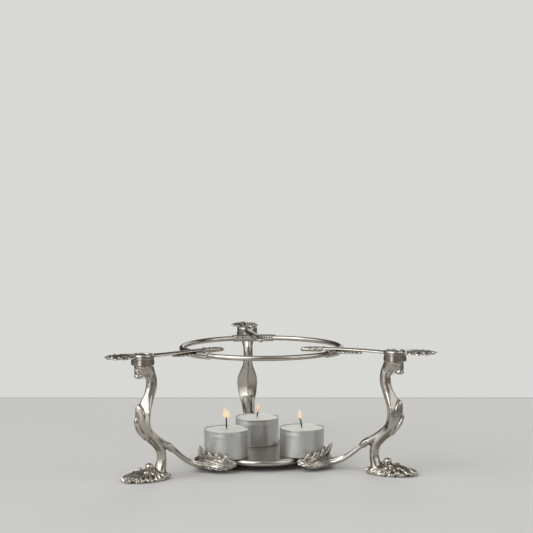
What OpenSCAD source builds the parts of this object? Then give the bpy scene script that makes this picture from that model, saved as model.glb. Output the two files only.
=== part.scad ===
// Warming stand. Three cast legs hold a small plate for tealights close to the table, and
// turned collars on their heads carry three leaf-ended arms that rest on a ring.
// Millimetres, +Z up. The origin is on the table, on the axis that the legs stand around.
// Each leg, arm and cradle is drawn in its own frame: X outwards, Y across, Z up.

/* [Legs] */
// Radius of the circle that the leg heads stand on
head_circle_r = 121.8; // [114:0.2:130]
// Height of the flat leg heads above the table
head_z = 96.4; // [88:0.2:102]
// Depth of the head under its collar, in the leg's plane
head_depth = 15; // [13:0.2:17]
// Width of the head across the leg
head_width = 14.6; // [13:0.2:17]
// Depth of the neck
neck_depth = 9; // [7:0.1:10]
// Width of the neck
neck_width = 8.4; // [7.4:0.1:10]
// Depth of the limb at the knee
knee_depth = 12.8; // [11:0.1:14]
// Width of the limb at the knee
knee_width = 20; // [17:0.1:22]
// Depth of the shank above the foot
shank_depth = 8.6; // [7:0.1:10]
// Width of the shank
shank_width = 11.6; // [9:0.1:13]
// Width of the shield on the knee
shield_width = 12.4; // [11:0.1:14]
// How far the shield's ridge stands out from the limb
shield_relief = 1.1; // [0.8:0.1:1.8]
// Radius of the ball that hangs from the head
head_ball_r = 2.9; // [2.4:0.1:3.6]
// Radius of the ball above the foot
foot_ball_r = 2.9; // [2.4:0.1:3.6]

/* [Feet] */
// Length of the leaf-shaped foot
foot_length = 47; // [42:0.5:56]
// Width of the foot
foot_width = 28; // [24:0.5:36]
// Thickness of the foot at its edge
foot_edge = 2.6; // [2:0.1:4]
// Height of the foot at its crown
foot_crown = 7.6; // [6:0.1:9]

/* [Tails] */
// Thickness of the tail that runs from the knee to the plate
tail_depth = 4.9; // [4.2:0.1:6]
// Width of the tail
tail_width = 7; // [6:0.1:9]
// How much thicker the leaf sheath around the upper tail is
sheath_step = 1.2; // [0.8:0.1:2]

/* [Candle plate] */
// Radius of the plate
plate_r = 43; // [40:0.2:46]
// Height of the plate's top above the table
plate_z = 10.3; // [9.5:0.1:14]
// Thickness of the plate's rolled rim
plate_rim = 5.1; // [4.4:0.1:6]
// Thickness of the plate's web
plate_web = 2.4; // [1.6:0.1:3]
// Distance of the rivets from the axis
rivet_circle_r = 31; // [28:0.5:34]
// Radius of the rivet shanks
rivet_r = 1.5; // [1.2:0.1:2]
// Thickness of the tongue that each tail sends under the plate
tongue_thick = 2.7; // [2:0.1:3.4]

/* [Cradles] */
// Gap between a tealight and the petals around it
petal_gap = 1.1; // [0.6:0.1:2]
// Width of the leaf around the tealight, from seat to edge
cradle_reach = 7.4; // [6:0.1:9]
// Height of the tallest prong above the plate
prong_height = 13; // [9:0.5:16]
// Radius of a prong at its root
prong_r = 1.6; // [1.2:0.1:2.2]

/* [Tealights] */
// Outer diameter of a tealight
tealight_d = 38.5; // [36:0.1:39]
// Height of a tealight cup
tealight_h = 24; // [14:0.5:26]
// Distance of the tealights from the axis
tealight_circle_r = 37.5; // [36.5:0.1:40]
// Wall of the foil cup
cup_wall = 0.4; // [0.3:0.05:0.6]
// Depth of the wax below the cup's rim
wax_drop = 1.2; // [0.8:0.1:4]
// Radius of a wick
wick_r = 0.75; // [0.5:0.05:1]
// Height of the tallest wick above the wax
wick_height = 11.5; // [4:0.5:13]

/* [Collars and screws] */
// Radius of a collar
collar_r = 9.6; // [8.8:0.1:10.4]
// Height of a collar
collar_h = 4.9; // [4:0.1:6]
// Radius of the disc at the end of an arm
disc_r = 9.3; // [8.6:0.1:10]
// Thickness of the disc
disc_h = 2.9; // [2.4:0.1:3.6]
// Height of the bead around the disc's top
bead_h = 0.6; // [0.4:0.1:1]
// Width of that bead
bead_w = 1.7; // [1.2:0.1:2.4]
// Radius of a screw's shank
screw_r = 2; // [1.6:0.1:2.4]
// Radius of a screw's head
screw_head_r = 4.3; // [3.6:0.1:5]
// Height of a screw's domed head
screw_head_h = 1.3; // [0.9:0.1:1.8]
// Length of a screw below the collar
screw_grip = 6; // [4:0.5:8]

/* [Arms] */
// Thickness of an arm
arm_thick = 2.7; // [2.2:0.1:3.4]
// Width of an arm next to its disc
arm_width = 9.6; // [8:0.1:11]
// Width of an arm at its inner end
arm_tip_width = 9.8; // [7:0.1:11]
// Distance of an arm's inner end from the axis
arm_tip_r = 39.6; // [37:0.2:46]
// Length of the leaf outside the disc
leaf_length = 27; // [22:0.5:30]
// Width of that leaf
leaf_width = 26; // [22:0.5:30]
// Thickness of the leaf at its crown
leaf_crown = 2.7; // [2.2:0.1:3.6]

/* [Ring] */
// Radius of the ring's centre line
ring_r = 69; // [62:0.2:74]
// Radius of the ring's rod
rod_r = 2.2; // [1.8:0.05:2.6]
// Depth of the seat that each arm has for the ring
seat_depth = 0.9; // [0.6:0.1:1.2]
// Wall of the leaf wraps around the ring
wrap_wall = 0.9; // [0.7:0.05:1.3]
// Half the angle of the ring that a leaf wrap covers
wrap_angle = 15; // [12:0.5:24]
// Length of the stem that a wrap sends out under its arm
stem_length = 21; // [14:0.5:26]

/* [Hidden] */

// Directions of the three legs, seen from above
left_az = 210;
right_az = 330;
back_az = 90;
leg_az = [left_az, right_az, back_az];

// Clearances
bore_gap = 0.15;
face_gap = 0.2;

// How far an arm rises over the ring, how far it swings sideways there and at its inner tip,
// and how far that tip dips
arm_rise = 0.5;
arm_swing = -1.1;
tip_swing = -3.9;
tip_dip = 1.2;

// Levels
collar_top = head_z + collar_h;
disc_top = collar_top + disc_h;
arm_mid = disc_top - arm_thick / 2 + 0.5;
ring_z = arm_mid + arm_rise - arm_thick / 2 + seat_depth - rod_r;
web_under = plate_z - plate_web;
rim_under = plate_z - plate_rim;
tongue_z = rim_under - tongue_thick;

// Finish colours
nickel = "#a39c92";
foil = "#b9bcbf";
paraffin = "#e9e6da";
soot = "#2a2622";

// Facets of the swept castings
limb_sides = 12;
tail_sides = 8;
arm_sides = 8;
round_fn = 96;

function mix(a, b, t) = a + (b - a) * t;
function unit(v) = v / norm(v);
function ease(t) = let (u = min(max(t, 0), 1)) u * u * (3 - 2 * u);

// A smooth curve through rows of numbers, with steps points for each span
function between(a, b, c, d, t) =
  0.5 * (2 * b + (c - a) * t + (2 * a - 5 * b + 4 * c - d) * t * t
  + (3 * b - a - 3 * c + d) * t * t * t);
function smooth_rows(rows, steps) =
  let (last = len(rows) - 1)
  concat(
    [for (i = [0 : last - 1]) for (j = [0 : steps - 1])
      between(rows[max(i - 1, 0)], rows[i], rows[i + 1], rows[min(i + 2, last)], j / steps)],
    [rows[last]]
  );

// The faces of a closed skin over rings of points, each ring with the same count
function skin_faces(rings, sides) =
  concat(
    [[for (k = [sides - 1 : -1 : 0]) k]],
    [for (i = [0 : rings - 2]) for (k = [0 : sides - 1])
      let (a = i * sides + k, b = i * sides + (k + 1) % sides)
      [a, b, b + sides, a + sides]],
    [[for (k = [0 : sides - 1]) (rings - 1) * sides + k]]
  );

// A bar that follows rows of [x, y, z, depth, width, roundness]. Its section goes from a
// diamond with four ridges, at roundness 0, to an oval, at roundness 1.
module swept(rows, steps, sides) {
  path = smooth_rows(rows, steps);
  last = len(path) - 1;
  across = [0, 1, 0];
  points = [
    for (i = [0 : last])
      let (
        row = path[i],
        p = [row[0], row[1], row[2]],
        q = path[min(i + 1, last)],
        o = path[max(i - 1, 0)],
        along = unit([q[0] - o[0], q[1] - o[1], q[2] - o[2]]),
        side = unit(across - (across * along) * along),
        out = cross(along, side)
      )
      for (k = [0 : sides - 1])
        let (a = 360 * k / sides, full = mix(1 / (abs(cos(a)) + abs(sin(a))), 1, row[5]))
        p + out * (full * row[3] / 2 * cos(a)) + side * (full * row[4] / 2 * sin(a))
  ];
  polyhedron(points, skin_faces(last + 1, sides), convexity = 8);
}

// A leaf of rounded lobes with a flat underside: reach is [outwards, inwards] from its
// centre, edge and crown are heights, and each lobe takes four spokes of the outline
module lobed_leaf(reach, width, edge, crown, lobes, notch) {
  spokes = 4 * lobes;
  half_way = 0.55;
  function swell(a) = sqrt(abs(cos(lobes * a / 2)));
  function rim(a) =
    let (ax = cos(a) > 0 ? reach[0] : reach[1])
    (1 - notch * (1 - swell(a))) / sqrt(pow(cos(a) / ax, 2) + pow(sin(a) / (width / 2), 2));
  function ring_at(f, z, ribs) =
    [for (k = [0 : spokes - 1])
      let (a = 360 * k / spokes, r = f * rim(a))
      [r * cos(a), r * sin(a), z * mix(1, swell(a), ribs)]];
  points = concat(
    [[0, 0, 0], [0, 0, crown]],
    ring_at(1, 0, 0),
    ring_at(0.97, edge, 0.3),
    ring_at(half_way, mix(edge, crown, 1 - half_way * half_way), 0.16)
  );
  faces = concat(
    [for (k = [0 : spokes - 1]) [0, 2 + k, 2 + (k + 1) % spokes]],
    [for (i = [0 : 1]) for (k = [0 : spokes - 1])
      let (a = 2 + i * spokes + k, b = 2 + i * spokes + (k + 1) % spokes)
      [b, a, a + spokes, b + spokes]],
    [for (k = [0 : spokes - 1])
      [2 + 2 * spokes + (k + 1) % spokes, 2 + 2 * spokes + k, 1]]
  );
  polyhedron(points, faces, convexity = 6);
}

// Rows of the limb, from the head down to the foot:
// [height share, outwards, depth, width, roundness]
limb_shape = [
  [1.000, -1.4, head_depth, head_width, 1],
  [0.955, -4.8, mix(neck_depth, head_depth, 0.55), mix(neck_width, head_width, 0.5), 0.8],
  [0.910, -7.4, mix(neck_depth, head_depth, 0.1), neck_width, 0.7],
  [0.850, -8.7, neck_depth, neck_width, 0.6],
  [0.785, -8.0, neck_depth, neck_width, 0.55],
  [0.720, -5.9, mix(neck_depth, knee_depth, 0.3), mix(neck_width, knee_width, 0.15), 0.5],
  [0.655, -3.0, mix(neck_depth, knee_depth, 0.7), mix(neck_width, knee_width, 0.6), 0.36],
  [0.595, -0.9, knee_depth, mix(neck_width, knee_width, 0.95), 0.2],
  [0.530, -0.4, knee_depth, knee_width, 0.16],
  [0.460, -1.2, knee_depth, mix(shank_width, knee_width, 0.85), 0.18],
  [0.395, -4.4, mix(shank_depth, knee_depth, 0.6), mix(shank_width, knee_width, 0.45), 0.28],
  [0.325, -11.4, mix(shank_depth, knee_depth, 0.25), mix(shank_width, knee_width, 0.1), 0.42],
  [0.250, -16.9, shank_depth + 0.4, shank_width, 0.5],
  [0.165, -18.1, shank_depth, shank_width, 0.55],
  [0.100, -17.0, shank_depth + 1, shank_width + 0.8, 0.7],
  [0.045, -15.4, shank_depth + 2.4, shank_width + 2.4, 1]
];

module limb() {
  rows = [for (s = limb_shape) [s[1], 0, s[0] * head_z, s[2], s[3], s[4]]];
  swept(rows, 2, limb_sides);
}

// The shield on the knee, a low relief with a ridge down its middle that lies on the two
// outer facets of the limb: [height share, ridge outwards, edge inwards of it, width share]
shield_shape = [
  [0.664, 4.9, 0.7, 0.10],
  [0.640, 5.8, 2.2, 0.48],
  [0.600, 6.3, 3.9, 0.86],
  [0.560, 6.4, 4.3, 1.00],
  [0.510, 6.2, 4.3, 0.98],
  [0.460, 5.2, 4.1, 0.90],
  [0.415, 3.3, 3.6, 0.78],
  [0.375, 0.9, 3.0, 0.64],
  [0.343, -1.4, 2.4, 0.50]
];

module shield() {
  hip = 0.62;
  sunk = 3.4;
  points = [
    for (s = shield_shape)
      let (
        z = s[0] * head_z,
        ridge = s[1] + shield_relief,
        edge = ridge - s[2],
        w = s[3] * shield_width / 2
      )
      each [
        [ridge, 0, z],
        [mix(ridge, edge, 0.5), hip * w, z],
        [edge, w, z],
        [edge - sunk, 0.7 * w, z],
        [edge - sunk, -0.7 * w, z],
        [edge, -w, z],
        [mix(ridge, edge, 0.5), -hip * w, z]
      ]
  ];
  polyhedron(points, skin_faces(len(shield_shape), 7), convexity = 4);
}

// The curled lip of the head, with the flattened ball under its outer edge
module head_lip() {
  lip_r = collar_r - 2;
  nose_x = lip_r - 3.6;
  hull() {
    translate([0, 0, head_z - 1.2])
      cylinder(r = lip_r, h = 1.2, $fn = 16);
    translate([nose_x, 0, head_z - 5.2])
      sphere(r = 2.5, $fn = 8);
  }
  hull() {
    translate([nose_x, 0, head_z - 5.2])
      sphere(r = 2.5, $fn = 6);
    translate([nose_x - 7, 0, head_z - 3])
      sphere(r = 4, $fn = 6);
  }
  translate([nose_x, 0, head_z - 8.4])
    rotate_extrude($fn = 10)
      polygon([for (a = [-90 : 30 : 90]) head_ball_r * [1.15 * cos(a), 0.78 * sin(a)]]);
}

// Shares of the run from the knee to the cradle: [along, height, extra depth, extra width]
tail_shape = [
  [0.00, 1.00, 0.4, 3.0],
  [0.08, 0.87, sheath_step, 2.6],
  [0.18, 0.75, sheath_step, 2.2],
  [0.30, 0.63, sheath_step, 1.8],
  [0.395, 0.535, sheath_step, 1.6],
  [0.425, 0.500, 0, 0],
  [0.546, 0.345, 0, 0],
  [0.690, 0.172, 0, 0.6],
  [0.826, 0.062, 0.2, 2.0],
  [0.96, 0.006, 0.4, 5.0],
  [1.08, -0.02, 0.2, 7.0]
];

module tail() {
  knee_r = head_circle_r - 7;
  cradle_r = tealight_circle_r + tealight_d / 2 + cradle_reach - 1.5;
  high_z = 0.41 * head_z;
  low_z = plate_z - 4.4;
  rows = [
    for (s = tail_shape)
      [mix(knee_r, cradle_r, s[0]) - head_circle_r, 0, mix(low_z, high_z, s[1]),
       tail_depth + s[2], tail_width + s[3], 0.8]
  ];
  swept(rows, 2, tail_sides);
}

// The foot: a lobed leaf, a smaller leaf on its crown and the ball above it
module foot() {
  toe = 0.5 * foot_length;
  foot_x = -2.4;
  translate([foot_x, 0, 0])
    lobed_leaf([toe, toe], foot_width, foot_edge, foot_crown, 9, 0.27);
  translate([foot_x + 3, 0, 0])
    lobed_leaf([0.62 * toe, 0.45 * toe], 0.6 * foot_width, foot_crown - 2, foot_crown + 1.4, 5, 0.26);
  hull() {
    translate([-6.8, 0, 10.6])
      sphere(r = foot_ball_r, $fn = 10);
    translate([-9.4, 0, 8.4])
      sphere(r = foot_ball_r - 0.6, $fn = 6);
  }
  hull() {
    translate([-7, 0, 7.6])
      sphere(r = 2.6, $fn = 6);
    translate([-4, 0, 4])
      sphere(r = 2.6, $fn = 6);
  }
}

// Section of the cradle at an angle around the tealight: [radius, height]
function cradle_section(a) =
  let (
    near = 1 - ease((abs(a) - 58) / 30),
    lobe = pow(cos(5 * a), 2),
    seat = tealight_d / 2,
    out = cradle_reach * mix(0.5, 1, near) * mix(0.78, 1, lobe),
    top = mix(0.1, 2.6, lobe * near)
  )
  [
    [seat - 1.6, plate_z - face_gap],
    [seat + petal_gap - 0.2, plate_z - face_gap],
    [seat + petal_gap + 0.3, plate_z + top],
    [seat + petal_gap + 1.5, plate_z + top + 0.2],
    [seat + out, plate_z - 2.2 + 0.6 * lobe],
    [seat + out + 0.3, plate_z - 4],
    [seat + mix(2, 4, near), mix(rim_under, tongue_z, near) + 0.4],
    [seat - 1.2, mix(rim_under, tongue_z, near)]
  ];

// The leaf that cups the outer half of a tealight, clear of the plate's rim
module cradle() {
  span = 78;
  count = 16;
  points = [
    for (i = [0 : count])
      let (a = mix(span, -span, i / count))
      for (p = cradle_section(a))
        [tealight_circle_r + p[0] * cos(a), p[0] * sin(a), p[1]]
  ];
  difference() {
    polyhedron(points, skin_faces(count + 1, 8), convexity = 8);
    translate([0, 0, rim_under - 0.01])
      cylinder(r = plate_r + face_gap, h = 2 * plate_rim, $fn = round_fn);
  }
}

// Upright prongs around the tealight: [angle, share of the full height, lean outwards]
prong_list = [[0, 1, 3.4], [30, 0.62, 2], [-30, 0.62, 2], [60, 0.34, 1.4], [-60, 0.34, 1.4]];

module prongs() {
  root = tealight_d / 2 + petal_gap + prong_r + 0.5;
  for (p = prong_list)
    translate([tealight_circle_r, 0, 0])
      rotate([0, 0, p[0]])
        hull() {
          translate([root, 0, plate_z - 1])
            sphere(r = prong_r, $fn = 6);
          translate([root + p[2], 0, plate_z + prong_height * p[1] - 1])
            sphere(r = 0.55 * prong_r, $fn = 6);
        }
}

// The tongue under the plate, with the boss that the rivet holds to the web
module tongue() {
  tip_r = 5.2;
  run = tealight_circle_r + tealight_d / 2 - rivet_circle_r;
  translate([rivet_circle_r, 0, tongue_z])
    linear_extrude(tongue_thick - 0.1)
      union() {
        circle(r = tip_r, $fn = 16);
        polygon([[0, -tip_r], [run, -7.5], [run, 7.5], [0, tip_r]]);
      }
  translate([rivet_circle_r, 0, tongue_z])
    cylinder(r = tip_r - 1, h = web_under - tongue_z, $fn = 16);
}

module leg(az) {
  color(nickel)
    rotate([0, 0, az])
      difference() {
        union() {
          translate([head_circle_r, 0, 0]) {
            limb();
            shield();
            head_lip();
            tail();
            foot();
          }
          cradle();
          prongs();
          tongue();
        }
        translate([head_circle_r, 0, head_z - screw_grip - 1])
          cylinder(r = screw_r + bore_gap, h = screw_grip + 2, $fn = 16);
        translate([rivet_circle_r, 0, tongue_z - 1])
          cylinder(r = rivet_r + bore_gap, h = plate_z, $fn = 16);
        translate([0, 0, head_z])
          cylinder(r = head_circle_r + 30, h = 10, $fn = 6);
      }
}

// A turned collar with a fine groove under its top edge
module collar(az) {
  groove = 0.35;
  color(nickel)
    rotate([0, 0, az])
      translate([head_circle_r, 0, head_z])
        rotate_extrude($fn = round_fn)
          polygon([
            [screw_r + bore_gap, 0],
            [collar_r - 0.5, 0],
            [collar_r, 0.5],
            [collar_r, collar_h - 1.1],
            [collar_r - groove, collar_h - 0.9],
            [collar_r - groove, collar_h],
            [screw_r + bore_gap, collar_h]
          ]);
}

// The disc of an arm, with a bead around its top and the hole for the screw
module arm_disc() {
  translate([head_circle_r, 0, collar_top])
    rotate_extrude($fn = round_fn)
      polygon([
        [screw_r + bore_gap, 0],
        [disc_r - 0.3, 0],
        [disc_r, 0.3],
        [disc_r, disc_h + bead_h - 0.5],
        [disc_r - 0.5, disc_h + bead_h],
        [disc_r - bead_w + 0.5, disc_h + bead_h],
        [disc_r - bead_w, disc_h],
        [screw_r + bore_gap, disc_h]
      ]);
}

// Rows of the arm from disc to inner tip: [share of the run, sideways, rise, depth, width]
arm_shape = [
  [0.00, 0.0, -0.3, 1.0, 1.00],
  [0.14, 0.5, 0, 1.0, 0.90],
  [0.28, 1.1, 0.2, 1.0, 0.84],
  [0.44, 0.3, 0.5 * arm_rise + 0.2, 1.0, 0.80],
  [0.61, arm_swing, arm_rise, 1.0, 0.80],
  [0.78, mix(arm_swing, tip_swing, 0.5), arm_rise - 0.25 * tip_dip, 1.0, 0.70],
  [0.88, mix(arm_swing, tip_swing, 0.8), arm_rise - 0.65 * tip_dip, 1.2, 0.80],
  [0.95, mix(arm_swing, tip_swing, 0.95), arm_rise - 0.9 * tip_dip, 1.3, 0.77],
  [1.00, tip_swing, arm_rise - tip_dip, 0.8, 0.42]
];

module arm_bar() {
  root_r = head_circle_r - disc_r + 2.4;
  rows = [
    for (s = arm_shape)
      let (wide = s[0] < 0.7 ? arm_width : mix(arm_width, arm_tip_width / 0.77, (s[0] - 0.7) / 0.3))
      [mix(root_r, arm_tip_r, s[0]), s[1], arm_mid + s[2], arm_thick * s[3], wide * s[4], 0.85]
  ];
  difference() {
    swept(rows, 2, arm_sides);
    translate([0, 0, ring_z])
      rotate_extrude($fn = 144)
        translate([ring_r, 0])
          circle(r = rod_r + 0.05, $fn = 24);
  }
}

// The leaf outside the disc, with the wedge that carries it
module arm_leaf() {
  near = 0.52 * leaf_length;
  far = 0.48 * leaf_length;
  leaf_z = disc_top - 0.6;
  wedge_w = 8;
  translate([head_circle_r + disc_r + near - 1.6, 0, leaf_z])
    lobed_leaf([far, near], leaf_width, 1.2, leaf_crown, 9, 0.3);
  translate([head_circle_r + disc_r, wedge_w / 2, leaf_z])
    rotate([90, 0, 0])
      linear_extrude(wedge_w)
        polygon([[-1.2, -1.8], [7, 0.1], [7, 0.6], [-1.2, 0.6]]);
}

module arm(az) {
  color(nickel)
    rotate([0, 0, az])
      union() {
        arm_disc();
        arm_bar();
        arm_leaf();
      }
}

module support_ring() {
  color(nickel)
    translate([0, 0, ring_z])
      rotate_extrude($fn = 192)
        translate([ring_r, 0])
          circle(r = rod_r, $fn = 32);
}

// Plan outline of a leaf wrap: half its width along the ring, from one point to the other
function wrap_half(t) =
  (rod_r + wrap_wall + 0.9) * min(1, 1.2 * (1.1 - t * t)) * (1 - 0.16 * pow(sin(450 * t), 2));

// The leaf wrap: a sleeve around the rod, trimmed to the leaf's outline and open above
// where the arm comes in, and the leafy stalk that runs outwards below the arm
module ring_wrap(az) {
  half = 10;
  lobe = 0.9;
  under_arm = ring_z + rod_r - seat_depth - 0.25;
  stalk = [
    for (i = [0 : 12])
      let (t = i / 12)
      [ring_r + t * (rod_r + stem_length),
       (1 - t) * 7.6 * (1 - 0.3 * pow(sin(540 * t), 2)) * mix(1, 0.62, ease(2 * t)) + 0.9]
  ];
  color(nickel)
    rotate([0, 0, az])
      difference() {
        union() {
          intersection() {
            translate([0, 0, ring_z])
              rotate_extrude($fn = 192)
                translate([ring_r, 0])
                  circle(r = rod_r + wrap_wall, $fn = 32);
            translate([0, 0, ring_z - 2 * rod_r])
              linear_extrude(4 * rod_r)
                polygon(concat(
                  [for (i = [-half : half])
                    let (a = wrap_angle * i / half, r = ring_r + wrap_half(i / half))
                    [r * cos(a), r * sin(a)]],
                  [for (i = [half : -1 : -half])
                    let (a = wrap_angle * i / half, r = ring_r - wrap_half(i / half))
                    [r * cos(a), r * sin(a)]]
                ));
          }
          translate([0, 0, under_arm - 1.7])
            linear_extrude(1.7)
              polygon(concat(
                [for (p = stalk) [p[0], -p[1]]],
                [for (i = [12 : -1 : 0]) [stalk[i][0], stalk[i][1] + lobe * sin(180 * i / 12)]]
              ));
        }
        translate([0, 0, ring_z])
          rotate_extrude($fn = 192)
            translate([ring_r, 0])
              circle(r = rod_r + 0.08, $fn = 32);
        translate([ring_r - 10, arm_swing - 0.5 * arm_width, under_arm])
          cube([20, arm_width, 10]);
      }
}

// The candle plate: a thin web inside a rolled rim, with holes for the rivets
module candle_plate() {
  bead = plate_rim / 2;
  color(nickel)
    difference() {
      rotate_extrude($fn = round_fn)
        union() {
          translate([0, web_under])
            square([plate_r - bead, plate_web]);
          translate([plate_r - bead, plate_z - bead])
            circle(r = bead, $fn = 48);
        }
      for (az = leg_az)
        rotate([0, 0, az])
          translate([rivet_circle_r, 0, web_under - 1])
            cylinder(r = rivet_r + bore_gap, h = plate_web + 2, $fn = 32);
    }
}

// Rivets flush with the plate's top, with a low head under the tongue
module plate_rivets() {
  head_h = 0.9;
  color(nickel)
    for (az = leg_az)
      rotate([0, 0, az])
        translate([rivet_circle_r, 0, 0]) {
          translate([0, 0, tongue_z])
            cylinder(r = rivet_r, h = plate_z - tongue_z, $fn = 32);
          translate([0, 0, tongue_z - head_h])
            cylinder(r1 = 1.4 * rivet_r, r2 = 1.9 * rivet_r, h = head_h, $fn = 32);
        }
}

// Screws through the arm discs and the collars into the leg heads
module arm_screws() {
  edge_h = 0.4;
  color(nickel)
    for (az = leg_az)
      rotate([0, 0, az])
        translate([head_circle_r, 0, 0]) {
          translate([0, 0, head_z - screw_grip])
            cylinder(r = screw_r, h = screw_grip + collar_h + disc_h, $fn = 32);
          translate([0, 0, disc_top])
            cylinder(r = screw_head_r, h = edge_h, $fn = 48);
          translate([0, 0, disc_top + edge_h])
            cylinder(r1 = screw_head_r, r2 = 0.55 * screw_head_r, h = screw_head_h - edge_h, $fn = 48);
        }
}

// A foil cup with fine ribs below its rolled rim
module tealight_cup(az) {
  r = tealight_d / 2;
  rib = 0.15;
  corner = 1;
  rib_top = tealight_h - 2.6;
  color(foil)
    rotate([0, 0, az])
      translate([tealight_circle_r, 0, plate_z])
        rotate_extrude($fn = round_fn)
          polygon(concat(
            [[0, 0], [r - corner - 0.2, 0]],
            [for (a = [0 : 30 : 90]) [r - 0.2 - corner + corner * sin(a), corner - corner * cos(a)]],
            [for (k = [0 : 3]) for (s = [0, 1, 2])
              [r - 0.2 + (s == 1 ? rib : 0), rib_top - 2.4 + 0.8 * k + 0.3 * s]],
            [
              [r - 0.2, tealight_h - 1],
              [r, tealight_h - 0.7],
              [r, tealight_h - 0.2],
              [r - 0.3, tealight_h],
              [r - 0.2 - cup_wall, tealight_h],
              [r - 0.2 - cup_wall, corner],
              [r - corner - 0.2, cup_wall],
              [0, cup_wall]
            ]
          ));
}

// The wax, a little lower around the wick, with the well that the wick stands in
module tealight_wax(az) {
  r = tealight_d / 2 - 0.2 - cup_wall - 0.05;
  top = tealight_h - wax_drop;
  well = 3;
  color(paraffin)
    rotate([0, 0, az])
      translate([tealight_circle_r, 0, plate_z])
        rotate_extrude($fn = round_fn)
          polygon([
            [0, cup_wall],
            [r - 1.1, cup_wall],
            [r, 1.2],
            [r, top + 0.3],
            [r - 0.8, top + 0.1],
            [0.6 * r, top],
            [0.25 * r, top - 0.3],
            [wick_r + 0.1, top - 0.3],
            [wick_r + 0.1, top - well],
            [0, top - well]
          ]);
}

// A burnt wick: lean is how far its tip bends over, and share is its part of the full height
module tealight_wick(az, lean, share) {
  foot_z = plate_z + tealight_h - wax_drop - 3;
  tip_z = plate_z + tealight_h - wax_drop + share * wick_height;
  rows = [
    [0, 0, foot_z, 2 * wick_r, 2 * wick_r, 1],
    [0, 0, foot_z + 3, 2 * wick_r, 2 * wick_r, 1],
    [0.15 * lean, 0.1 * lean, mix(foot_z + 3, tip_z, 0.4), 1.8 * wick_r, 1.8 * wick_r, 1],
    [0.55 * lean, 0.35 * lean, mix(foot_z + 3, tip_z, 0.75), 1.7 * wick_r, 1.7 * wick_r, 1],
    [lean, 0.6 * lean, tip_z, 1.3 * wick_r, 1.3 * wick_r, 1]
  ];
  color(soot)
    rotate([0, 0, az])
      translate([tealight_circle_r, 0, 0])
        swept(rows, 2, 6);
}

leg(left_az);  // leg_front_left
leg(right_az);  // leg_front_right
leg(back_az);  // leg_back
collar(left_az);  // collar_front_left
collar(right_az);  // collar_front_right
collar(back_az);  // collar_back
arm(left_az);  // arm_front_left
arm(right_az);  // arm_front_right
arm(back_az);  // arm_back
support_ring();
ring_wrap(left_az);  // ring_wrap_front_left
ring_wrap(right_az);  // ring_wrap_front_right
ring_wrap(back_az);  // ring_wrap_back
candle_plate();
plate_rivets();
arm_screws();
tealight_cup(left_az);  // tealight_cup_front_left
tealight_cup(right_az);  // tealight_cup_front_right
tealight_cup(back_az);  // tealight_cup_back
tealight_wax(left_az);  // tealight_wax_front_left
tealight_wax(right_az);  // tealight_wax_front_right
tealight_wax(back_az);  // tealight_wax_back
tealight_wick(left_az, 0.4, 1);  // tealight_wick_front_left
tealight_wick(right_az, -1.6, 0.8);  // tealight_wick_front_right
tealight_wick(back_az, -1.6, 0.52);  // tealight_wick_back
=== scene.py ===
"""Warming stand: the looks of the cast legs, arms, ring, candle plate and tealights."""

import logging
from dataclasses import dataclass, field
from enum import Enum
from math import atan2, cos, degrees, pi, radians, sin
from typing import Sequence

import bmesh
import bpy
import numpy as np
from mathutils import Matrix, Vector


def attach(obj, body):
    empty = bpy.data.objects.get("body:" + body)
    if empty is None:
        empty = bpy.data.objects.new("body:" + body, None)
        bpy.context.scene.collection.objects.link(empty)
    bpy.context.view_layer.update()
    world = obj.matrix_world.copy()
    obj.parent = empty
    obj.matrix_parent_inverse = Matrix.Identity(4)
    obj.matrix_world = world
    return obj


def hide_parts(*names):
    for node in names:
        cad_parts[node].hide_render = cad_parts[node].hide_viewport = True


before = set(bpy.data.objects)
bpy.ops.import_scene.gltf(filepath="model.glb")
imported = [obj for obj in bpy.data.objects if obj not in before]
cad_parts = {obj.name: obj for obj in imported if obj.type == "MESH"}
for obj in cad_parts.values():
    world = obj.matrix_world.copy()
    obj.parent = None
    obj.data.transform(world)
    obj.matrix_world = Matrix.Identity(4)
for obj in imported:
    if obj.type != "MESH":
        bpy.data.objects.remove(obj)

LOG = logging.getLogger("warming_stand")
MM = 0.001
BODY = "root"
Colour = tuple[float, float, float, float]
Point = tuple[float, float, float]


class Place(Enum):
    """The three places around the axis, with the direction of each in degrees."""

    FRONT_LEFT = 210
    FRONT_RIGHT = 330
    BACK = 90

    @property
    def suffix(self) -> str:
        """The place as it stands in a node's name."""
        return self.name.lower()

    @property
    def turn(self) -> Matrix:
        """The turn from the drawing frame, X outwards, to this place."""
        return Matrix.Rotation(radians(self.value), 4, "Z")


# Sizes that the pieces share, in millimetres
@dataclass(frozen=True)
class Stand:
    """Sizes of the stand that more than one piece is set against."""

    head_r: float = 121.8
    head_z: float = 96.4
    plate_z: float = 10.3
    light_r: float = 37.5
    light_d: float = 38.5
    light_h: float = 24.0
    disc_top: float = 104.2
    ring_r: float = 69.0
    ring_z: float = 101.2


STAND = Stand()


def ease(t: float) -> float:
    """A smooth step from 0 to 1."""
    u = min(max(t, 0.0), 1.0)
    return u * u * (3 - 2 * u)


def mix(a: float, b: float, t: float) -> float:
    """The value that lies the share t of the way from a to b."""
    return a + (b - a) * t


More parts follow.
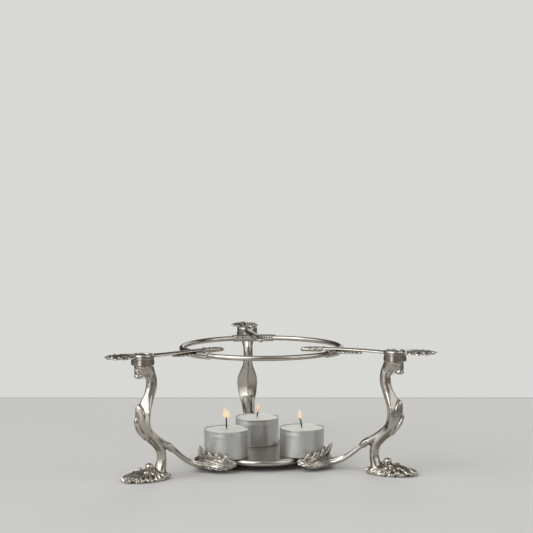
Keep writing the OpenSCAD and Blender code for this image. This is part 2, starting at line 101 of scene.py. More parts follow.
class Casting:
    """Gathers overlapping closed forms in millimetres and fuses them into one cast skin."""

    def __init__(self) -> None:
        """Starts with nothing in the mould."""
        self.bm = bmesh.new()

    def solid(self, node: str, place: Place) -> None:
        """Lays in a copy of a CAD node, turned back to the drawing frame.

        Args:
            node: The node's name.
            place: Where that node stands.
        """
        copy = bmesh.new()
        copy.from_mesh(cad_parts[node].data)
        bmesh.ops.remove_doubles(copy, verts=copy.verts, dist=2e-6)
        bmesh.ops.transform(copy, verts=copy.verts,
                            matrix=Matrix.Scale(1 / MM, 4) @ place.turn.inverted())
        self._lay_in(copy)

    def _lay_in(self, part: bmesh.types.BMesh) -> None:
        """Adds a part to what is in the mould and frees it.

        Args:
            part: The part, in millimetres.
        """
        mesh = bpy.data.meshes.new("laid_in")
        part.to_mesh(mesh)
        self.bm.from_mesh(mesh)
        bpy.data.meshes.remove(mesh)
        part.free()

    def lobe(self, at: Sequence[float], along: Sequence[float], size: Sequence[float],
             up: Sequence[float] = (0, 0, 1)) -> None:
        """Lays in a rounded lobe.

        Args:
            at: Its centre.
            along: The direction of its length.
            size: Its length, width and thickness.
            up: The direction of its thickness, as near as its length lets it.
        """
        x = Vector(along).normalized()
        y = Vector(up).cross(x)
        y = y.normalized() if y.length > 1e-6 else x.orthogonal().normalized()
        z = x.cross(y)
        turn = Matrix((x, y, z)).transposed().to_4x4()
        scale = Matrix.Diagonal((size[0] / 2, size[1] / 2, size[2] / 2, 1))
        bmesh.ops.create_icosphere(self.bm, subdivisions=2, radius=1.03,
                                   matrix=Matrix.Translation(Vector(at)) @ turn @ scale)

    def leaflet(self, at: Sequence[float], along: Sequence[float], size: Sequence[float],
                up: Sequence[float] = (0, 0, 1)) -> None:
        """Lays in a small leaf: a long lobe between two short ones.

        Args:
            at: Its centre.
            along: The direction of its tip.
            size: Its length, width and thickness.
            up: The direction that it faces.
        """
        x = Vector(along).normalized()
        y = Vector(up).cross(x).normalized()
        long, wide, thick = size
        self.lobe(at, x, (long, wide * 0.46, thick), up)
        for s in (-1, 1):
            self.lobe(Vector(at) - x * (long * 0.13) + y * (s * wide * 0.27), x + y * (0.5 * s),
                      (long * 0.72, wide * 0.42, thick * 0.86), up)

    def soften(self, voxel: float, smooth: int) -> None:
        """Fuses what is there so far and rounds its corners.

        Args:
            voxel: The size of the skin's faces, in millimetres.
            smooth: The count of smoothing passes.
        """
        skin = self.fuse("softened", voxel, smooth)
        self.bm = bmesh.new()
        self.bm.from_mesh(skin)
        bmesh.ops.scale(self.bm, vec=(1 / MM, 1 / MM, 1 / MM), verts=self.bm.verts)
        bpy.data.meshes.remove(skin)

    def rod(self, path: Sequence[Sequence[float]], radii: Sequence[float], flat: float = 1.0,
            sides: int = 10) -> None:
        """Lays in a bar along a smooth path, extruded ring by ring.

        Args:
            path: The points that it goes through.
            radii: Its radius at each point.
            flat: Its height as a share of its width.
            sides: The count of its sides.
        """
        points = [Vector(p) for p in smooth_path(path, 4)]
        sizes = [r[0] for r in smooth_path([(r, 0, 0) for r in radii], 4)]
        bar = bmesh.new()
        made = bmesh.ops.create_circle(bar, cap_ends=True, segments=sides, radius=1)
        ring = made["verts"]
        face = next(f for f in ring[0].link_faces if len(f.verts) == sides)
        self._seat(ring, points[0], points[1] - points[0], sizes[0], flat)
        for i in range(1, len(points)):
            ends = points[min(i + 1, len(points) - 1)] - points[i - 1]
            grown = bmesh.ops.extrude_face_region(bar, geom=[face], use_keep_orig=(i == 1))
            face = next(g for g in grown["geom"] if isinstance(g, bmesh.types.BMFace))
            order = list(face.verts)
            self._seat(order, points[i], ends, sizes[i], flat)
        self._lay_in(bar)

    def _seat(self, ring: Sequence[bmesh.types.BMVert], at: Vector, along: Vector, radius: float,
              flat: float) -> None:
        """Moves a ring of points square to a direction, each kept on its own side.

        Args:
            ring: The points, in order.
            at: The ring's new centre.
            along: The direction that it stands square to.
            radius: Half its width.
            flat: Its height as a share of its width.
        """
        x = along.normalized()
        side = Vector((0, 0, 1)).cross(x)
        side = side.normalized() if side.length > 0.05 else Vector((0, 1, 0))
        up = x.cross(side)
        n = len(ring)
        for k, vert in enumerate(ring):
            a = 2 * pi * k / n
            vert.co = at + side * (radius * cos(a)) + up * (radius * flat * sin(a))

    def fuse(self, name: str, voxel: float, smooth: int) -> bpy.types.Mesh:
        """Fuses what was laid in into one skin and marks its hollows.

        Args:
            name: The mesh's name.
            voxel: The size of the skin's faces, in millimetres.
            smooth: The count of smoothing passes.

        Returns:
            The mesh, in metres, with its hollows in the attribute "hollow".
        """
        bmesh.ops.recalc_face_normals(self.bm, faces=self.bm.faces)
        bmesh.ops.scale(self.bm, vec=(MM, MM, MM), verts=self.bm.verts)
        mesh = bpy.data.meshes.new(name)
        self.bm.to_mesh(mesh)
        self.bm.free()
        obj = bpy.data.objects.new(name, mesh)
        bpy.context.scene.collection.objects.link(obj)
        remesh = obj.modifiers.new("skin", "REMESH")
        remesh.mode = "VOXEL"
        remesh.voxel_size = voxel * MM
        remesh.use_smooth_shade = True
        relax = obj.modifiers.new("relax", "SMOOTH")
        relax.factor = 0.5
        relax.iterations = smooth
        graph = bpy.context.evaluated_depsgraph_get()
        skin = bpy.data.meshes.new_from_object(obj.evaluated_get(graph))
        bpy.data.objects.remove(obj)
        skin.name = name
        mark_hollows(skin)
        return skin


def smooth_path(rows: Sequence[Sequence[float]], steps: int) -> list[tuple[float, ...]]:
    """A smooth curve through rows of three numbers.

    Args:
        rows: The rows that it goes through.
        steps: The count of points for each span.

    Returns:
        The points of the curve.
    """
    pts = [Vector(r) for r in rows]
    out = []
    for i in range(len(pts) - 1):
        a, b, c, d = (pts[max(i - 1, 0)], pts[i], pts[i + 1], pts[min(i + 2, len(pts) - 1)])
        for j in range(steps):
            t = j / steps
            out.append(0.5 * (2 * b + (c - a) * t + (2 * a - 5 * b + 4 * c - d) * t * t
                              + (3 * b - a - 3 * c + d) * t ** 3))
    out.append(pts[-1])
    return [tuple(p) for p in out]


def mark_hollows(mesh: bpy.types.Mesh, reach: int = 6, settle: int = 3, deep: float = 0.00022) -> None:
    """Writes how far each point lies in a hollow to the attribute "hollow", from 0 to 1.

    Args:
        mesh: The mesh, in metres.
        reach: How many edges around a point count as its surroundings.
        settle: How often the result is evened out.
        deep: The depth that counts as a full hollow, in metres.
    """
    count = len(mesh.vertices)
    co = np.empty(count * 3)
    mesh.vertices.foreach_get("co", co)
    co = co.reshape(-1, 3)
    normal = np.empty(count * 3)
    mesh.vertices.foreach_get("normal", normal)
    normal = normal.reshape(-1, 3)
    edges = np.empty(len(mesh.edges) * 2, int)
    mesh.edges.foreach_get("vertices", edges)
    a, b = edges.reshape(-1, 2).T
    degree = np.bincount(a, minlength=count) + np.bincount(b, minlength=count)

    def spread(values: np.ndarray) -> np.ndarray:
        """The mean of each point's neighbours.

        Args:
            values: One row for each point.

        Returns:
            The means, in the same order.
        """
        total = np.zeros((count,) + values.shape[1:])
        np.add.at(total, a, values[b])
        np.add.at(total, b, values[a])
        return total / degree.reshape((-1,) + (1,) * (values.ndim - 1))

    wide = co
    for _ in range(reach):
        wide = spread(wide)
    depth = ((wide - co) * normal).sum(1)
    for _ in range(settle):
        depth = spread(depth)
    hollow = np.clip(depth / deep, -1, 1) * 0.5 + 0.5
    layer = mesh.attributes.new("hollow", "FLOAT", "POINT")
    layer.data.foreach_set("value", hollow.astype(np.float32))


def show(mesh: bpy.types.Mesh, name: str, material: bpy.types.Material, slot: str,
         *nodes: str) -> None:
    """Puts a finished mesh in the scene as a piece that rides on the stand.

    Args:
        mesh: The mesh, in metres, with its place in it.
        name: The piece's name.
        material: Its finish.
        slot: Not used.
        nodes: The CAD nodes that it stands for.
    """
    mesh.materials.clear()
    mesh.materials.append(material)
    obj = bpy.data.objects.new(name, mesh)
    bpy.context.scene.collection.objects.link(obj)
    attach(obj, BODY)
    if nodes:
        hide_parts(*nodes)
    LOG.info("%s: %d faces", name, len(mesh.polygons))


def show_casting(skin: bpy.types.Mesh, name: str, material: bpy.types.Material, node: str) -> None:
    """Shows one casting at the three places.

    Args:
        skin: The casting in the drawing frame, in metres.
        name: The pieces' name, without the place.
        material: Its finish.
        node: The name of the CAD nodes that it stands for, without the place.
    """
    for place in Place:
        mesh = skin.copy()
        mesh.transform(place.turn)
        show(mesh, f"{name}_{place.suffix}", material, "casting", f"{node}_{place.suffix}")


def spin_outline(bm: bmesh.types.BMesh, outline: Sequence[tuple[float, float]], steps: int) -> None:
    """Spins an outline around the Z axis.

    Args:
        bm: Where the shape goes.
        outline: The outline, as radius and height.
        steps: The count of steps around.
    """
    chain = [bm.verts.new((r, 0, h)) for r, h in outline]
    edges = [bm.edges.new(pair) for pair in zip(chain, chain[1:])]
    bmesh.ops.spin(bm, geom=chain + edges, cent=(0, 0, 0), axis=(0, 0, 1), angle=2 * pi,
                   steps=steps, use_merge=True)


def close_up(bm: bmesh.types.BMesh) -> None:
    """Merges the doubles of a spun shape and turns its faces outwards."""
    bmesh.ops.remove_doubles(bm, verts=bm.verts, dist=0.001)
    bmesh.ops.recalc_face_normals(bm, faces=bm.faces)


def finished(bm: bmesh.types.BMesh, name: str, to: Sequence[float]) -> bpy.types.Mesh:
    """Moves a shape to its place and makes it a smooth mesh.

    Args:
        bm: The shape, in millimetres.
        name: The mesh's name.
        to: How far it moves, in millimetres.

    Returns:
        The mesh, in metres.
    """
    bmesh.ops.translate(bm, verts=bm.verts, vec=to)
    bmesh.ops.scale(bm, vec=(MM, MM, MM), verts=bm.verts)
    for face in bm.faces:
        face.smooth = True
    mesh = bpy.data.meshes.new(name)
    bm.to_mesh(mesh)
    bm.free()
    return mesh


@dataclass(frozen=True)
class Term:
    """A value socket. Arithmetic on it adds Math nodes to its graph."""

    graph: "Graph"
    socket: bpy.types.NodeSocket

    def _math(self, operation: str, *values: object) -> "Term":
        """Adds one Math node.

        Args:
            operation: What it does.
            values: The numbers or sockets that it does it to.

        Returns:
            Its result.
        """
        return self.graph.node("ShaderNodeMath", {"operation": operation},
                               dict(enumerate(values)))

    def __add__(self, other: object) -> "Term":
        """The sum."""
        return self._math("ADD", self, other)

    __radd__ = __add__

    def __sub__(self, other: object) -> "Term":
        """The difference."""
        return self._math("SUBTRACT", self, other)

    def __rsub__(self, other: object) -> "Term":
        """The difference, the other way round."""
        return self._math("SUBTRACT", other, self)

    def __mul__(self, other: object) -> "Term":
        """The product."""
        return self._math("MULTIPLY", self, other)

    __rmul__ = __mul__

    def __truediv__(self, other: object) -> "Term":
        """The quotient."""
        return self._math("DIVIDE", self, other)

    def __pow__(self, other: object) -> "Term":
        """The power."""
        return self._math("POWER", self, other)

    def clamped(self) -> "Term":
        """The value kept from 0 to 1."""
        return self._math("MINIMUM", self._math("MAXIMUM", self, 0.0), 1.0)

    def step(self, low: float, high: float) -> "Term":
        """A smooth step, from 0 at low to 1 at high."""
        u = ((self - low) / (high - low)).clamped()
        return u * u * (3.0 - 2.0 * u)


class Graph:
    """The nodes of one material or of the world."""

    def __init__(self, tree: bpy.types.NodeTree) -> None:
        """Starts with an empty tree."""
        self.tree = tree
        tree.nodes.clear()

    def node(self, kind: str, settings: dict[str, object] | None = None,
             inputs: dict[object, object] | None = None, out: object = 0) -> Term:
        """Adds one node.

        Args:
            kind: The node's type.
            settings: Its settings; "stops" are a ramp's stops.
            inputs: The values or links of its sockets, by name or number.
            out: The name or number of the socket that comes back.

        Returns:
            The socket that was asked for.
        """
        made = self.tree.nodes.new(kind)
        for key, value in (settings or {}).items():
            if key == "stops":
                ramp = made.color_ramp.elements
                while len(ramp) > 1:
                    ramp.remove(ramp[-1])
                ramp[0].position, ramp[0].color = value[0]
                for where, shade in value[1:]:
                    ramp.new(where).color = shade
            else:
                setattr(made, key, value)
        for key, value in (inputs or {}).items():
            if isinstance(value, Term):
                self.tree.links.new(value.socket, made.inputs[key])
            elif value is not None:
                made.inputs[key].default_value = value
        return Term(self, made.outputs[out])

    def place(self, centre: Sequence[float] = (0, 0, 0)) -> Term:
        """Object coordinates, measured from a centre.

        Args:
            centre: The centre, in metres.

        Returns:
            The coordinates' socket.
        """
        where = self.node("ShaderNodeTexCoord", out="Object")
        return self.node("ShaderNodeVectorMath", {"operation": "SUBTRACT"},
                         {0: where, 1: tuple(centre)})

    def parts(self, vector: Term) -> tuple[Term, Term, Term]:
        """The three numbers of a vector.

        Args:
            vector: The vector's socket.

        Returns:
            One socket for each number.
        """
        made = self.tree.nodes.new("ShaderNodeSeparateXYZ")
        self.tree.links.new(vector.socket, made.inputs[0])
        return tuple(Term(self, made.outputs[i]) for i in range(3))

    def noise(self, where: Term, scale: float, detail: float = 3.0, rough: float = 0.5) -> Term:
        """Noise around 0.5, with features of about one metre over scale."""
        return self.node("ShaderNodeTexNoise", {"noise_dimensions": "3D"},
                         {"Vector": where, "Scale": scale, "Detail": detail, "Roughness": rough})

    def blend(self, factor: object, a: object, b: object) -> Term:
        """The colour between a and b.

        Args:
            factor: The share of b.
            a: The first colour.
            b: The second colour.

        Returns:
            The colour's socket.
        """
        made = self.tree.nodes.new("ShaderNodeMix")
        made.data_type = "RGBA"
        for key, value in ((0, factor), (6, a), (7, b)):
            if isinstance(value, Term):
                self.tree.links.new(value.socket, made.inputs[key])
            else:
                made.inputs[key].default_value = value
        return Term(self, made.outputs[2])

    def bump(self, height: Term, strength: float, distance: float) -> Term:
        """A normal roughened by a height."""
        return self.node("ShaderNodeBump", {}, {"Height": height, "Strength": strength,
                                                "Distance": distance})

    def metal(self, base: Term, rough: Term, normal: Term) -> None:
        """Covers the surface with a metal of a colour, a roughness and a normal."""
        self.surface(self.node("ShaderNodeBsdfPrincipled", {}, {
            "Base Color": base, "Metallic": 1.0, "Roughness": rough.clamped(), "Normal": normal}))

    def surface(self, shader: Term) -> None:
        """Sends a shader to the output."""
        made = self.tree.nodes.new("ShaderNodeOutputMaterial")
        self.tree.links.new(shader.socket, made.inputs["Surface"])


def colour(r: float, g: float, b: float) -> Colour:
    """An opaque colour."""
    return (r, g, b, 1.0)


BACKDROP = colour(0.690, 0.695, 0.668)


class Finish:
    """A finish with a name, made once as a material."""

    name = "finish"

    def make(self) -> bpy.types.Material:
        """Makes the material.

        Returns:
            The material, with its nodes.
        """
        material = bpy.data.materials.new(self.name)
        material.use_nodes = True
        self.paint(Graph(material.node_tree))
        return material

    def paint(self, graph: Graph) -> None:
        """Draws the finish in its graph.

        Args:
            graph: The material's graph.
        """
        raise NotImplementedError


@dataclass(frozen=True)
class CastPlate(Finish):
    """Polished plate over a casting, darker and duller in the hollows, where tarnish and painted shade
    lie.
    """

    name: str = "plated_casting"
    bright: Colour = colour(0.49, 0.458, 0.412)
    film: Colour = colour(0.35, 0.322, 0.283)
    worn: Colour = colour(0.62, 0.595, 0.555)
    dark: Colour = colour(0.095, 0.077, 0.058)
    polish: float = 0.235

    def paint(self, graph: Graph) -> None:
        """Draws the plate, its hollows darkened by tarnish and painted shade, and its worn ridges.

        Args:
            graph: The material's graph.
        """
        where = graph.place()
        hollow = graph.node("ShaderNodeAttribute", {"attribute_name": "hollow"}, out="Fac")
        grain = graph.noise(where, 900.0, 4.0)
        cloud = graph.noise(where, 160.0, 3.0)
        # Hollows darkened towards near black: part tarnish, part painted shade of the recesses.
        tarnish_and_shade = (hollow + (cloud - 0.5) * 0.22).step(0.54, 0.80)
        ridge = 1.0 - hollow.step(0.22, 0.45)
        film = graph.blend((cloud - 0.25) * 1.1, self.bright, self.film)
        base = graph.blend(tarnish_and_shade, film, self.dark)
        base = graph.blend(ridge * 0.30, base, self.worn)
        rough = self.polish + (grain - 0.5) * 0.10 + tarnish_and_shade * 0.26 + (cloud - 0.5) * 0.10
        normal = graph.bump(grain * 0.6 + cloud, 0.15, 0.0003)
        graph.metal(base, rough, normal)


@dataclass(frozen=True)
class TurnedPlate(Finish):
    """Polished plate on turned and drawn metal, with faint turning lines and a thin film, rougher and
    darkened by painted shade inside a given radius.
    """

    name: str = "plated_turned"
    bright: Colour = colour(0.52, 0.488, 0.445)
    film: Colour = colour(0.34, 0.313, 0.275)
    dull: Colour = colour(0.375, 0.352, 0.312)
    polish: float = 0.14
    dull_r: float = 0.0

    def paint(self, graph: Graph) -> None:
        """Draws the plate.

        Args:
            graph: The material's graph.
        """
        where = graph.place()
        cloud = graph.noise(where, 120.0, 4.0)
        grain = graph.noise(where, 1400.0, 3.0)
        x, y, z = graph.parts(where)
        level = graph.node("ShaderNodeCombineXYZ", {}, {0: x * 0.05, 1: y * 0.05, 2: z})
        lines = graph.noise(level, 2600.0, 2.0)
        base = graph.blend((cloud - 0.3) * 1.1, self.bright, self.film)
        # Inside the radius the finish is rougher and its colour darker: painted shade of the plate between
        # the tealights.
        web = 1.0 - ((x * x + y * y) ** 0.5).step(self.dull_r - 0.0015, self.dull_r + 0.0005)
        base = graph.blend(web * 0.8, base, self.dull)
        rough = self.polish + (cloud - 0.5) * 0.16 + (lines - 0.5) * 0.08 + web * 0.22
        normal = graph.bump(lines * 0.5 + grain * 0.3 + cloud, 0.14, 0.0002)
        graph.metal(base, rough, normal)


@dataclass(frozen=True)
class Foil(Finish):
    """The drawn foil of a tealight cup, with upright lines."""

    name: str = "foil"
    centre: tuple[float, float] = (0.0, 0.0)

    def paint(self, graph: Graph) -> None:
        """Draws the foil.

        Args:
            graph: The material's graph.
        """
        where = graph.place((self.centre[0], self.centre[1], 0.0))
        x, y, z = graph.parts(where)
        around = graph.node("ShaderNodeMath", {"operation": "ARCTAN2"}, {0: y, 1: x})
        draw = graph.node("ShaderNodeCombineXYZ", {}, {0: around, 1: z * 6.0, 2: 0.0})
        lines = graph.noise(draw, 14.0, 4.0, 0.55)
        broad = graph.noise(draw, 3.2, 2.0)
        dents = graph.noise(where, 90.0, 2.0)
        base = graph.blend((lines - 0.2) * 0.8, colour(0.62, 0.62, 0.605), colour(0.44, 0.44, 0.43))
        rough = 0.43 + (lines - 0.5) * 0.12 + (dents - 0.5) * 0.06
        normal = graph.bump(lines * 0.25 + broad * 2.2 + dents * 0.5, 0.10, 0.0004)
        graph.metal(base, rough, normal)


@dataclass(frozen=True)
class Wax(Finish):
    """Paraffin, clear and glossy in the pool around the wick."""

    name: str = "wax"
    centre: tuple[float, float] = (0.0, 0.0)

    def paint(self, graph: Graph) -> None:
        """Draws the wax and its melted pool.

        Args:
            graph: The material's graph.
        """
        where = graph.place((self.centre[0], self.centre[1], 0.0))
        x, y, _ = graph.parts(where)
        far = (x * x + y * y) ** 0.5
        cloud = graph.noise(where, 220.0, 3.0)
        pool = 1.0 - (far + (cloud - 0.5) * 0.006).step(0.008, 0.013)
        base = graph.blend(pool * 0.12, colour(0.73, 0.735, 0.695), colour(0.69, 0.68, 0.61))
        base = graph.blend((cloud - 0.35) * 0.5, base, colour(0.77, 0.775, 0.74))
        spot = 1.0 - (far + (cloud - 0.5) * 0.002).step(0.0012, 0.0036)
        base = graph.blend(spot * 0.7, base, colour(0.70, 0.60, 0.40))
        normal = graph.bump(cloud, 0.12, 0.0003)
        graph.surface(graph.node("ShaderNodeBsdfPrincipled", {}, {
            "Base Color": base, "Roughness": 0.48 - pool * 0.10, "Normal": normal,
            "Subsurface Weight": 0.15, "Subsurface Radius": (0.004, 0.003, 0.002)}))


@dataclass(frozen=True)
class Wick(Finish):
    """Cotton, burnt above and waxed at its foot."""

    name: str = "wick"

    def paint(self, graph: Graph) -> None:
        """Draws the cotton and the soot.

        Args:
            graph: The material's graph.
        """
        where = graph.place()
        _, _, z = graph.parts(where)
        twist = graph.noise(where, 1500.0, 3.0)
        burnt = (z + (twist - 0.5) * 0.002).step(0.0335, 0.0355)
        base = graph.blend(burnt, colour(0.62, 0.56, 0.44), colour(0.022, 0.018, 0.016))
        normal = graph.bump(twist, 0.5, 0.0003)
        graph.surface(graph.node("ShaderNodeBsdfPrincipled", {}, {
            "Base Color": base, "Roughness": 0.9 - twist * 0.2, "Normal": normal}))


@dataclass(frozen=True)
class Fire(Finish):
    """A candle flame, pale in its middle and warmer at its ends."""

    name: str = "flame"

    def paint(self, graph: Graph) -> None:
        """Draws the flame's glow.

        Args:
            graph: The material's graph.
        """
        _, _, z = graph.parts(graph.place())
        glow = graph.node("ShaderNodeValToRGB", {"stops": [
            (0.0, colour(0.95, 0.52, 0.34)), (0.25, colour(1.0, 0.72, 0.45)),
            (0.6, colour(1.0, 0.80, 0.52)), (1.0, colour(1.0, 0.62, 0.38))]},
            {0: (z - 0.0400) / 0.013})
        thin = (z - 0.0385).step(0.0, 0.006) * 0.12 + 0.14
        graph.surface(graph.node("ShaderNodeBsdfPrincipled", {}, {
            "Base Color": colour(0.0, 0.0, 0.0), "Roughness": 1.0, "Specular IOR Level": 0.0,
            "Emission Color": glow, "Emission Strength": 1.0, "Alpha": thin}))


@dataclass(frozen=True)
class FloorPaint(Finish):
    """The plain floor, the paler background beyond its far edge, and a painted dark room and painted
    softbox that only reflections see.
    """

    name: str = "floor"
    edge: float = 0.3500
    seam: float = 0.0045
    far: tuple[float, float] = (0.20, 0.42)

    def paint(self, graph: Graph) -> None:
        """Draws the floor and what lies beyond it.

        Args:
            graph: The material's graph.
        """
        x, y, _ = graph.parts(graph.place())
        back = x * 0.115 + y * 0.9934
        beyond = (back - self.edge).step(-0.001, 0.002)
        seam = 1.0 - (((back - self.edge - self.seam) / 0.0048) ** 2.0).clamped()
        seen = graph.node("ShaderNodeLightPath", out="Is Camera Ray")
        mirrored = graph.node("ShaderNodeLightPath", out="Is Glossy Ray")
        # Far out, the floor is painted dark for reflections only: a painted reflection of a dark room.
        far = ((x * x + y * y) ** 0.5).step(*self.far)
        plain = colour(0.617, 0.612, 0.598)
        paint = graph.blend(mirrored * far, plain, colour(0.20, 0.19, 0.175))
        floor = graph.node("ShaderNodeBsdfPrincipled", {}, {
            "Base Color": paint, "Roughness": 0.6, "Specular IOR Level": 0.25})
        shown = graph.blend(seam * 0.75, BACKDROP, colour(0.34, 0.34, 0.33))
        # A bright softbox painted on the floor to the front left, seen only in reflections: painted light
        # for the metal's highlights.
        way = (x * -0.60 - y * 0.80) / (x * x + y * y) ** 0.5
        card = mirrored * far * way.step(0.955, 0.995)
        glow = graph.node("ShaderNodeEmission", {}, {
            "Color": colour(1.0, 1.0, 0.985), "Strength": 1.35})
        floor = graph.node("ShaderNodeMixShader", {}, {0: card, 1: floor, 2: glow})
        wall = graph.node("ShaderNodeEmission", {}, {
            "Color": graph.blend(seen, colour(0.10, 0.095, 0.09), shown), "Strength": 1.0})
        graph.surface(graph.node("ShaderNodeMixShader", {}, {0: beyond, 1: floor, 2: wall}))


@dataclass
class Legs:
    """The three cast legs, each with its shield, tail, cradle and leaf foot in one casting."""

    voxel: float = 0.46
    neck: list[tuple[float, float]] = field(default_factory=lambda: [
        (0.91, -7.4), (0.85, -8.7), (0.785, -8.0), (0.72, -5.9), (0.655, -3.0), (0.595, -0.9)])
    neck_lobe: Point = (26, 8.9, 9.3)
    shield: list[tuple[float, float, float, float]] = field(default_factory=lambda: [
        (0.640, 6.9, 2.2, 0.52), (0.60, 7.4, 3.9, 0.86), (0.56, 7.5, 4.3, 1.0), (0.51, 7.3, 4.3, 0.98),
        (0.46, 6.3, 4.1, 0.90), (0.415, 4.4, 3.6, 0.78), (0.375, 2.0, 3.0, 0.64), (0.345, -0.2, 2.4, 0.5)])
    fold: list[Point] = field(default_factory=lambda: [
        (7.2, 1.6, 0.50), (5.6, 2.6, 0.455), (2.4, 3.0, 0.405), (-1.2, 2.2, 0.365), (-4.2, 1.2, 0.34)])
    tail: list[tuple[float, float]] = field(default_factory=lambda: [
        (0.0, 1.0), (0.08, 0.87), (0.18, 0.75), (0.30, 0.63), (0.425, 0.50), (0.546, 0.345),
        (0.69, 0.172), (0.826, 0.062), (0.96, 0.006)])
    foot_size: tuple[float, float] = (23.5, 14.0)
    # Count, place as a share of the foot's size, height, size and tilt of the lobes
    foot_tiers: tuple[tuple, ...] = (
        (15, 0.80, 2.1, (8.6, 5.6, 4.0), -0.04), (11, 0.58, 4.2, (8.4, 5.0, 3.8), -0.2),
        (7, 0.34, 6.2, (7.6, 4.4, 3.6), -0.3))
    # Along, across and radius
    foot_knobs: tuple[Point, ...] = (
        (11, 4.2, 1.5), (8, -5.2, 1.6), (15, -2.6, 1.3), (3.5, 6.2, 1.6),
        (1.5, -6.8, 1.5), (17.5, 2.4, 1.2), (6, 1.2, 1.7))
    # Count, inner and outer share of the foot's size, inner and outer height
    foot_ribs: tuple[tuple[float, ...], ...] = ((26, 0.40, 0.99, 6.7, 2.3), (17, 0.12, 0.70, 8.3, 4.4))
    ball: Point = (5.6, 7.2, 7.2)
    fan: tuple[int, ...] = (9, 17, 25, 33, 41, 49, 57, 65, 73)
    # Angle around the tealight, height, width and outward lean
    prongs: tuple[tuple[float, ...], ...] = (
        (0, 13.8, 3.2, 0.38), (16, 7.6, 5.2, 0.2), (-17, 8.4, 5.0, 0.2), (34, 6.8, 5.2, 0.16),
        (-36, 6.2, 5.2, 0.16), (55, 6.4, 5.4, 0.25), (-54, 6.4, 5.2, 0.3), (72, 3.0, 4.0, 0.4),
        (-71, 3.4, 4.0, 0.4))
    cradle_end: float = 46
    cradle_end_z: float = 8.4
    line_pitch: float = 1.9
    line_depth: float = 0.42

    def build(self, finish: bpy.types.Material) -> None:
        """Casts one leg and shows it at the three places.

        Args:
            finish: The material of the casting.
        """
        cast = Casting()
        cast.solid("leg_back", Place.BACK)
        self.round_neck(cast)
        cast.soften(0.8, 7)
        self.lay_neck(cast)
        self.lay_shield(cast)
        self.lay_tail(cast)
        self.lay_foot(cast)
        self.lay_ribs(cast)
        self.lay_prongs(cast)
        self.taper_cradle(cast)
        cast.soften(self.voxel, 1)
        self.carve_cradle(cast)
        show_casting(cast.fuse("leg_skin", self.voxel, 1), "leg_casting", finish, "leg")

    def round_neck(self, cast: Casting) -> None:
        """Fills the neck out, so that its outer side is round.

        Args:
            cast: The mould.
        """
        points = [Vector((STAND.head_r + x, 0, h * STAND.head_z)) for h, x in self.neck]
        for high, low in zip(points, points[1:]):
            cast.lobe(low.lerp(high, 0.5), high - low, self.neck_lobe, (1, 0, 0))

    def lay_neck(self, cast: Casting) -> None:
        """Lays in the folds that fan from the head into the neck, and the knob of the lip.

        Args:
            cast: The mould.
        """
        x0, top = STAND.head_r, STAND.head_z
        for s in (-1, 1):
            for k in range(4):
                t = k / 3
                start = mix(5.6, -4.0, t)
                wide = mix(3.0, 5.6, t) if k < 3 else 4.6
                cast.rod([(x0 + start, s * wide, top - 2.0),
                          (x0 + start - 2.6, s * (wide - 0.1), top - mix(6.4, 4.8, t)),
                          (x0 + mix(-1.6, -7.4, t), s * mix(3.3, 3.6, t), top - mix(10.8, 9.4, t)),
                          (x0 + mix(-4.2, -9.0, t), s * mix(2.9, 2.6, t), top - mix(15.5, 14.0, t))],
                         [0.35, 0.6, 0.55, 0.1])
        cast.lobe((x0 + 4.9, 0, top - 4.6), (0.05, 0, -1), (13.0, 6.6, 5.4), (1, 0, 0))
        cast.lobe((x0 + 0.6, 0, top - 5.2), (0, 0, 1), (9.4, 8.4, 9.0), (1, 0, 0))
        cast.lobe((x0 + 4.2, 0, top - 9.2), (1, 0, 0), (7.6, 7.2, 4.6))

    def lay_shield(self, cast: Casting) -> None:
        """Lays in the rolled edge around the shield, its folds and the oval boss on it.

        Args:
            cast: The mould.
        """
        x0, top = STAND.head_r, STAND.head_z
        for s in (-1, 1):
            cast.rod([(x0 + r - e + 0.1, s * 6.1 * w, h * top) for h, r, e, w in self.shield],
                     [0.4, 0.6, 0.5, 0.4, 0.4, 0.45, 0.5, 0.5])
            cast.rod([(x0 + x, s * y, h * top) for x, y, h in self.fold], [0.5, 0.8, 0.9, 0.8, 0.4])
        cast.lobe((x0 + 7.2, 0, 0.505 * top), (-0.06, 0, -1), (7.4, 3.8, 2.2), (1, 0, 0))

    def lay_tail(self, cast: Casting) -> None:
        """Lays in the flutes of the tail and the leaf tips where its sheath ends.

        Args:
            cast: The mould.
        """
        knee, cradle = STAND.head_r - 7, 62.65
        path = [(mix(knee, cradle, t), mix(5.9, 39.5, h)) for t, h in self.tail]
        for s in (-1, 1):
            cast.rod([(x, s * 1.8, z + 2.0) for x, z in path], [0.5, 0.9, 1, 1, 0.8, 0.6, 0.6, 0.8, 0.5])
            cast.rod([(x, s * 2.9, z - 1.0) for x, z in path], [0.5, 0.9, 1, 1, 0.7, 0.5, 0.6, 0.7, 0.5])
        (xa, za), (xb, zb) = path[3], path[4]
        along = (xb - xa, 0, zb - za)
        for y, dz, long in ((0, 2.4, 10), (-3.0, 0.8, 9), (3.0, 0.8, 9), (0, -2.4, 8)):
            cast.lobe((xb + 3.0, y, zb + 2.3 + dz), along, (long, 3.2, 2.9))
        (xa, za), (xb, zb) = path[6], path[8]
        for s in (-1, 1):
            cast.rod([(xa, s * 1.2, za + 2.3), (mix(xa, xb, 0.5), s * 2.6, mix(za, zb, 0.5) + 1.4),
                      (xb, s * 4.4, zb + 2.2)], [0.6, 0.9, 0.9])

